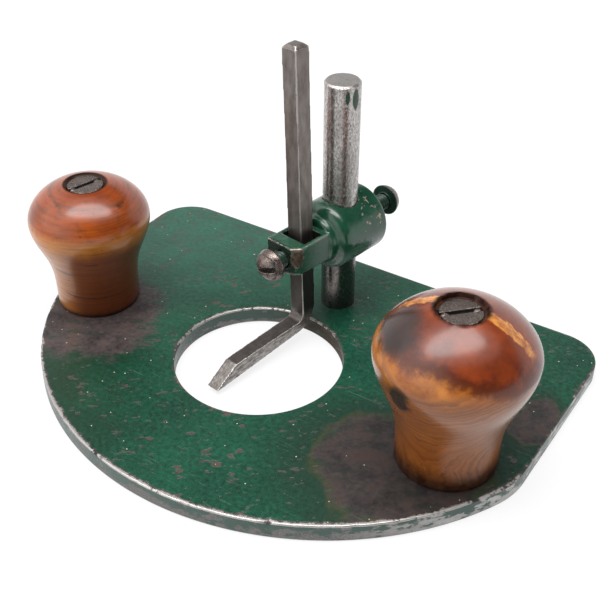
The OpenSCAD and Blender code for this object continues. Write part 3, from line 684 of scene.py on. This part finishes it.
# Fruitwood under old shellac: red-brown on the handled crown, tan below it and darker to the foot, partly as
# painted shade from the plate below, with thin dark growth rings and a few pores. Its waist is painted paler
# on the front-left side, where more light falls.
left_wood, add = new_finish("polished_fruitwood")
mm = add("Mapping", add("TexCoord").outputs["Object"],
    Location=(-left_axis.x, -left_axis.y, -plate_thick), Scale=to_mm)
height = add("SeparateXYZ", Vector=mm).outputs["Z"]
cloud = add("TexNoise", Vector=mm, Scale=1 / 12, Detail=4, Roughness=0.55)
mottle = add("TexNoise", Vector=mm, Scale=1 / 3, Detail=5, Roughness=0.6)
ring_way = add("Mapping", Vector=mm, Rotation=(0.05, -0.04, 0), Scale=(0.03, 0.03, 1))
lines = add("TexNoise", Vector=ring_way, Scale=1 / 0.6, Detail=5, Roughness=0.75)
level = add("Math.MULTIPLY_ADD", cloud, 5.0, add("Math.MULTIPLY_ADD", mottle, 2.0, height))
handled = add("MapRange.SMOOTHSTEP", Value=level, From_Min=38, From_Max=42.5)
upper = add("MapRange.SMOOTHSTEP", Value=level, From_Min=39, From_Max=31)
# Partly painted shade: the waist darkens toward the foot, where the plate below takes light away.
lower = add("MapRange.SMOOTHSTEP", Value=level, From_Min=24, From_Max=6)
waist_colour = add("Mix.RGBA", Factor=upper, A=linear("ab6a28"), B=linear("6c3612"))
waist_colour = add("Mix.RGBA", Factor=lower, A=waist_colour, B=linear("5c2a07"))
# Painted light: the waist is paler on its front-left side, where more light falls.
painted_left_light = add("MapRange.SMOOTHSTEP", Value=add("VectorMath.DOT_PRODUCT", mm, (-0.75, -0.65, 0)), From_Min=4,
    From_Max=15, To_Max=0.8)
waist_colour = add("Mix.RGBA", Factor=painted_left_light, A=waist_colour, B=linear("b9742f"))
crown_top = add("MapRange.SMOOTHSTEP", Value=level, From_Min=42, From_Max=52)
crown_colour = add("Mix.RGBA", Factor=crown_top, A=linear("92400a"), B=linear("8b3916"))
for patches, start, full, most, code in ((cloud, 0.35, 0.7, 0.6, "ab5312"), (cloud, 0.5, 0.3, 0.7, "73300d"),
                                         (mottle, 0.48, 0.68, 0.7, "6b3415")):
    patch = add("MapRange", Value=patches, From_Min=start, From_Max=full, To_Max=most)
    crown_colour = add("Mix.RGBA", Factor=patch, A=crown_colour, B=linear(code))
colour = add("Mix.RGBA", Factor=handled, A=waist_colour, B=crown_colour)
# Dark growth rings run round the knob, not quite level.
tilted = add("VectorMath.DOT_PRODUCT", mm, (0.06, 0.02, 1))
tilted = add("Math.MULTIPLY_ADD", cloud, 4.0, tilted)
ring_off = add("Math.ABSOLUTE", add("Math.SUBTRACT", tilted, 29.0))
for ring_up in (22.4, 11.6, 48.6):
    next_off = add("Math.ABSOLUTE", add("Math.SUBTRACT", tilted, ring_up))
    ring_off = add("Math.MINIMUM", ring_off, next_off)
ringed = add("MapRange.SMOOTHSTEP", Value=ring_off, From_Min=0.7, From_Max=0.1, To_Max=0.9)
broken = add("MapRange", Value=cloud, From_Min=0.38, From_Max=0.6)
colour = add("Mix.RGBA", Factor=add("Math.MULTIPLY", ringed, broken), A=colour, B=linear("45220e"))
lined = add("MapRange", Value=lines, From_Min=0.42, From_Max=0.66, To_Max=0.55)
colour = add("Mix.RGBA", Factor=lined, A=colour, B=linear("4a2008"))
pores = add("TexVoronoi", Vector=mm, Scale=1 / 2.6)
pored = add("Math.MULTIPLY", add("Math.GREATER_THAN", add("SeparateColor", Color=pores.outputs["Color"]),
    0.62), add("MapRange", Value=pores.outputs["Distance"], From_Min=0.13, From_Max=0.07, To_Max=0.8))
colour = add("Mix.RGBA", Factor=pored, A=colour, B=linear("2a130b"))
out_from = add("VectorMath.LENGTH", add("VectorMath.MULTIPLY", mm, (1, 1, 0)))
# Grime and painted shade: the bore's lip and counterbore are darkened.
lip_grime_and_shade = add("MapRange.SMOOTHSTEP", Value=out_from, From_Min=8.6, From_Max=7.6, To_Max=0.95)
foot_dirt = add("MapRange.SMOOTHSTEP", Value=add("Math.MULTIPLY_ADD", mottle, 2.0, height), From_Min=4,
    From_Max=1.4, To_Max=0.85)
dirt = add("Math.MAXIMUM", foot_dirt, add("Math.MULTIPLY", lip_grime_and_shade,
    add("MapRange", Value=height, From_Min=30, From_Max=40)))
colour = add("Mix.RGBA", Factor=dirt, A=colour, B=linear("20130c"))
relief = add("Bump", Height=add("Math.SUBTRACT", lines, pored), Strength=0.25, Distance=0.0001)
rough = add("MapRange", Value=mottle, To_Min=0.35, To_Max=0.5)
shellac = add("MapRange", Value=dirt, To_Min=1.0, To_Max=0.15)
shellac_rough = add("MapRange", Value=height, From_Min=32, From_Max=42, To_Min=0.26, To_Max=0.19)
skin = add("BsdfPrincipled", Base_Color=colour, Roughness=rough, Normal=relief, Specular_IOR_Level=0.06,
    Coat_Weight=shellac, Coat_Roughness=shellac_rough)
add("OutputMaterial", Surface=skin)
set_down(bm, "left_turned_knob", "base", "left_knob", "left_wood", left_wood)

bm = turn_knob(right_axis, waist=16.5, waist_up=4.6, belly=25.2, belly_up=42, crown_up=59.2,
               crown_power=1.69, waist_power=1.44, bore=7.8, floor_up=53.2, screw_up=56.4)
# The lip of its bore is broken out unevenly.
lip_radius, lip_wide, lip_break = 8, 1.5, 0.6
lip_inner, lip_outer, lip_low = 7, 9.5, 62
for vert in bm.verts:
    from_axis = (vert.co - right_axis).to_2d()
    if lip_inner < from_axis.length < lip_outer and vert.co.z > lip_low:
        near_lip = 1 - abs(from_axis.length - lip_radius) / lip_wide
        vert.co.xy += from_axis.normalized() * (noise.noise(vert.co * 0.55) * lip_break * near_lip)
# Figured wood under dark old polish: nearly black where the palm sits, worn
# through to orange in two streaks, golden below with fine figure and a knot.
right_wood, add = new_finish("polished_yew_or_boxwood")
mm = add("Mapping", add("TexCoord").outputs["Object"],
    Location=(-right_axis.x, -right_axis.y, -plate_thick), Scale=to_mm)
apart = add("SeparateXYZ", Vector=mm)
height, sideways, fore = apart.outputs["Z"], apart.outputs["X"], apart.outputs["Y"]
cloud = add("TexNoise", Vector=mm, Scale=1 / 10, Detail=5, Roughness=0.6)
mottle = add("TexNoise", Vector=mm, Scale=1 / 3, Detail=5, Roughness=0.65)
# The knob was turned across the grain: rings lie round a line through it.
pith = add("Mapping", Vector=mm, Location=(0, -3, -8), Scale=(0.1, 1, 1))
from_pith = add("VectorMath.LENGTH", pith)
figure = add("TexNoise", noise_dimensions="1D", W=add("Math.MULTIPLY_ADD", cloud, 5.0,
    add("Math.MULTIPLY_ADD", mottle, 0.8, from_pith)), Scale=1 / 1.1, Detail=3, Roughness=0.6)
level = add("Math.MULTIPLY_ADD", cloud, 11.0, add("Math.MULTIPLY_ADD", mottle, 4.0, height))
level = add("Math.ADD", level, add("MapRange", Value=add("VectorMath.DOT_PRODUCT", mm, (0.835, 0.55, 0)),
    From_Min=-6, From_Max=24, To_Max=7))
handled = add("MapRange.SMOOTHSTEP", Value=level, From_Min=51, From_Max=58)
band_off = add("Math.ABSOLUTE", add("Math.SUBTRACT", level, 57.0))
band = add("MapRange.SMOOTHSTEP", Value=band_off, From_Min=3.4, From_Max=0.6, To_Max=0.6)
lower = add("MapRange.SMOOTHSTEP", Value=height, From_Min=49, From_Max=38)
waist_colour = add("Mix.RGBA", Factor=lower, A=linear("bc7328"), B=linear("834a17"))
waist_colour = add("Mix.RGBA", Factor=add("MapRange", Value=cloud, From_Min=0.4, From_Max=0.7,
    To_Max=0.55), A=waist_colour, B=linear("66320c"))
figured = add("Math.MULTIPLY", add("MapRange", Value=figure, From_Min=0.4, From_Max=0.65),
    add("MapRange", Value=lower, To_Min=0.2, To_Max=0.6))
waist_colour = add("Mix.RGBA", Factor=figured, A=waist_colour, B=linear("4f2a10"))
crown_colour = add("Mix.RGBA", Factor=add("MapRange", Value=cloud, From_Min=0.3, From_Max=0.7),
    A=linear("4a180b"), B=linear("82360f"))
colour = add("Mix.RGBA", Factor=handled, A=waist_colour, B=crown_colour)
colour = add("Mix.RGBA", Factor=band, A=colour, B=linear("34150b"))
wander = add("VectorMath.MULTIPLY_ADD", mottle.outputs["Color"], (5, 5, 5), mm)
drift = add("VectorMath.MULTIPLY_ADD", cloud.outputs["Color"], (7, 7, 7), wander)
black_off = add("VectorMath.LENGTH", add("Mapping", vector_type="TEXTURE", Vector=drift,
    Location=(-9, -7, 59), Scale=(10, 12, 7.5)))
blackened = add("MapRange.SMOOTHSTEP", Value=black_off, From_Min=1.3, From_Max=0.55, To_Max=0.88)
colour = add("Mix.RGBA", Factor=blackened, A=colour, B=linear("1b1210"))
# Two worn streaks, torn along the grain, one to each side of the screw.
torn = add("TexNoise", Vector=add("Mapping", Vector=mm, Scale=(0.3, 1, 1)), Scale=1 / 1.8, Detail=5,
    Roughness=0.65)
streak_off = add("Math.ABSOLUTE", add("Math.SUBTRACT", add("Math.MULTIPLY_ADD", sideways, -0.07, fore),
    0.6))
streak_off = add("Math.MULTIPLY_ADD", torn, 4.5, streak_off)
streak = add("MapRange.SMOOTHSTEP", Value=streak_off, From_Min=4.4, From_Max=3.9)
streak_up = add("MapRange.SMOOTHSTEP", Value=height, From_Min=47, From_Max=49.5)
streak_left = add("MapRange.SMOOTHSTEP", Value=add("Math.MULTIPLY_ADD", torn, -5.0, sideways),
    From_Min=-21.5, From_Max=-19.5)
worn = add("Math.MULTIPLY", streak, add("Math.MULTIPLY", streak_up, streak_left))
orange = add("Mix.RGBA", Factor=add("MapRange", Value=torn, From_Min=0.35, From_Max=0.6),
    A=linear("cf8a40"), B=linear("8a4a18"))
colour = add("Mix.RGBA", Factor=worn, A=colour, B=orange)
knot_off = add("VectorMath.LENGTH", add("Mapping", vector_type="TEXTURE", Vector=wander,
    Location=(-3.8, -21.2, 39.8), Scale=(4.4, 6, 5.6)))
knot = add("MapRange.SMOOTHSTEP", Value=knot_off, From_Min=1.15, From_Max=0.6, To_Max=0.94)
colour = add("Mix.RGBA", Factor=knot, A=colour, B=linear("1d0f0b"))
out_from = add("VectorMath.LENGTH", add("VectorMath.MULTIPLY", mm, (1, 1, 0)))
# Grime and painted shade: the bore's lip and counterbore are darkened.
lip_grime_and_shade = add("MapRange.SMOOTHSTEP", Value=add("Math.MULTIPLY_ADD", mottle, 2.0, out_from),
    From_Min=10.4, From_Max=8.9, To_Max=0.92)
foot_dirt = add("MapRange.SMOOTHSTEP", Value=add("Math.MULTIPLY_ADD", mottle, 4.0, height), From_Min=12.5,
    From_Max=4, To_Max=0.9)
dirt = add("Math.MAXIMUM", foot_dirt, add("Math.MULTIPLY", lip_grime_and_shade,
    add("MapRange", Value=height, From_Min=40, From_Max=50)))
grime = add("Mix.RGBA", Factor=add("MapRange", Value=mottle, From_Min=0.4, From_Max=0.65),
    A=linear("100806"), B=linear("33221a"))
colour = add("Mix.RGBA", Factor=dirt, A=colour, B=grime)
relief = add("Bump", Height=add("Math.MULTIPLY_ADD", mottle, 1.6, figure), Strength=0.14, Distance=0.0001)
rough = add("MapRange", Value=mottle, To_Min=0.35, To_Max=0.5)
clean = add("MapRange", Value=dirt, To_Min=1.0, To_Max=0.15)
polish = add("Math.MULTIPLY", clean, add("MapRange", Value=height, From_Min=14, From_Max=30, To_Min=0.6))
skin = add("BsdfPrincipled", Base_Color=colour, Roughness=rough, Normal=relief, Specular_IOR_Level=0.06,
    Coat_Weight=polish, Coat_Roughness=0.21)
add("OutputMaterial", Surface=skin)
set_down(bm, "right_turned_knob", "base", "right_knob", "right_wood", right_wood)

# The knob screws are slotted cheese-heads of dark steel, in counterbores darkened by grime and painted
# shade. Dirt is packed hard in the ends of their slots.
slot_end, lump_size, lump_up, lump_rough = 5, (1.45, 1.25, 1.15, 1), 0.3, 0.15
for node, name, axis, slot_floor, slot_turn in (
        ("left_knob_screw", "left_knob_bolt", left_axis, 53.45, 75),
        ("right_knob_screw", "right_knob_bolt", right_axis, 61.4, 46)):
    bm = worn_copy(node, radius=0.25)
    fill_slot(bm, Vector((0, 0, 1)), slot_floor)
    in_slot = Matrix.Translation(axis + Vector((0, 0, slot_floor + lump_up)))
    along = in_slot @ Matrix.Rotation(math.radians(slot_turn), 4, "Z")
    for end in (-slot_end, slot_end):
        lump_at = along @ Matrix.Translation((end, 0, 0)) @ Matrix.Diagonal(lump_size)
        lump = bmesh.ops.create_icosphere(bm, subdivisions=3, radius=1, matrix=lump_at)
        for vert in lump["verts"]:
            vert.co.z += noise.noise(vert.co * 1.4) * lump_rough
    set_down(bm, name, "base", node, "screw_steel", dark_screw, screw_slot)

# The bench is a plain sheet of white paper, laid flat. To the camera and in
# reflections it is lightened, as under a bright light, with a faint shadow.
paper_up, paper_glow = -0.0001, 0.8
paper, add = new_finish("white_paper")
path = add("LightPath")
seen = add("Math.MAXIMUM", path.outputs["Is Camera Ray"], path.outputs["Is Glossy Ray"])
matt = add("BsdfDiffuse", Color=linear("f6f7f9"))
glow = add("Emission", Color=(1, 1, 1, 1), Strength=1.0)
lifted = add("MixShader", add("Math.MULTIPLY", seen, paper_glow), matt, glow)
add("OutputMaterial", Surface=lifted)
bm = bmesh.new()
bmesh.ops.create_grid(bm, x_segments=1, y_segments=1, size=6, matrix=Matrix.Translation((0, 0, paper_up)))
sheet = bpy.data.meshes.new("bench_paper")
bm.to_mesh(sheet)
bm.free()
sheet.materials.append(paper)
bench = bpy.data.objects.new("bench_paper", sheet)
bpy.context.scene.collection.objects.link(bench)

# Soft studio light: white low down behind, a pale wall in front to the left
# and dim elsewhere. One long soft box overhead, brighter in its middle, gives
# the knobs their highlights.
world = bpy.data.worlds.new("white_studio")
bpy.context.scene.world = world
world.use_nodes = True
world.node_tree.nodes.clear()
add = functools.partial(add_node, world.node_tree)
way = add("TexCoord").outputs["Generated"]
up = add("SeparateXYZ", Vector=way).outputs["Z"]
front_left = add("VectorMath.DOT_PRODUCT", way, (-0.8, -0.6, 0))
walls = add("MapRange.SMOOTHSTEP", Value=front_left, From_Min=0.0, From_Max=0.9, To_Min=0.08, To_Max=1.9)
behind = add("VectorMath.DOT_PRODUCT", way, (-0.5, 0.85, 0))
sweep_top = add("MapRange.SMOOTHSTEP", Value=behind, From_Min=-0.2, From_Max=0.4, To_Min=0.15,
    To_Max=0.53)
low_down = add("MapRange.SMOOTHSTEP", Value=add("Math.SUBTRACT", up, sweep_top), From_Min=0.06,
    From_Max=-0.06)
level = add("Mix", Factor=low_down, A=walls, B=1.0)
seen = add("LightPath").outputs["Is Camera Ray"]
strength = add("Mix", Factor=seen, A=level, B=1.0)
add("OutputWorld", Surface=add("Background", Color=(1, 1, 1, 1), Strength=strength))
for name, wide, long, above, watts in (("soft_box", 1.0, 2.0, 1.0, 4.2),
                                       ("soft_box_middle", 0.5, 1.15, 0.98, 9.4)):
    lamp = bpy.data.lights.new(name, "AREA")
    lamp.shape, lamp.size, lamp.size_y, lamp.energy = "ELLIPSE", wide, long, watts
    soft_box = bpy.data.objects.new(name, lamp)
    soft_box.location, soft_box.rotation_euler = (0.02, -0.07, above), (0, 0, -0.9)
    bpy.context.scene.collection.objects.link(soft_box)

# The camera stands in front and to the right, looking down on the plate.
lens = bpy.data.cameras.new("camera")
lens.lens, lens.sensor_width, lens.clip_start = 63.1, 36, 0.01
camera = bpy.data.objects.new("camera", lens)
turn, tilt = math.radians(33.34), math.radians(35.42)
right = Vector((math.cos(turn), math.sin(turn), 0))
upward = Vector((-math.sin(turn) * math.sin(tilt), math.cos(turn) * math.sin(tilt), math.cos(tilt)))
back = right.cross(upward)
stand = Matrix.Translation((0.1686, -0.2379, 0.2399))
camera.matrix_world = stand @ Matrix((right, upward, back)).transposed().to_4x4()
bpy.context.scene.collection.objects.link(camera)
bpy.context.scene.camera = camera
bpy.context.scene.view_settings.view_transform = "Standard"
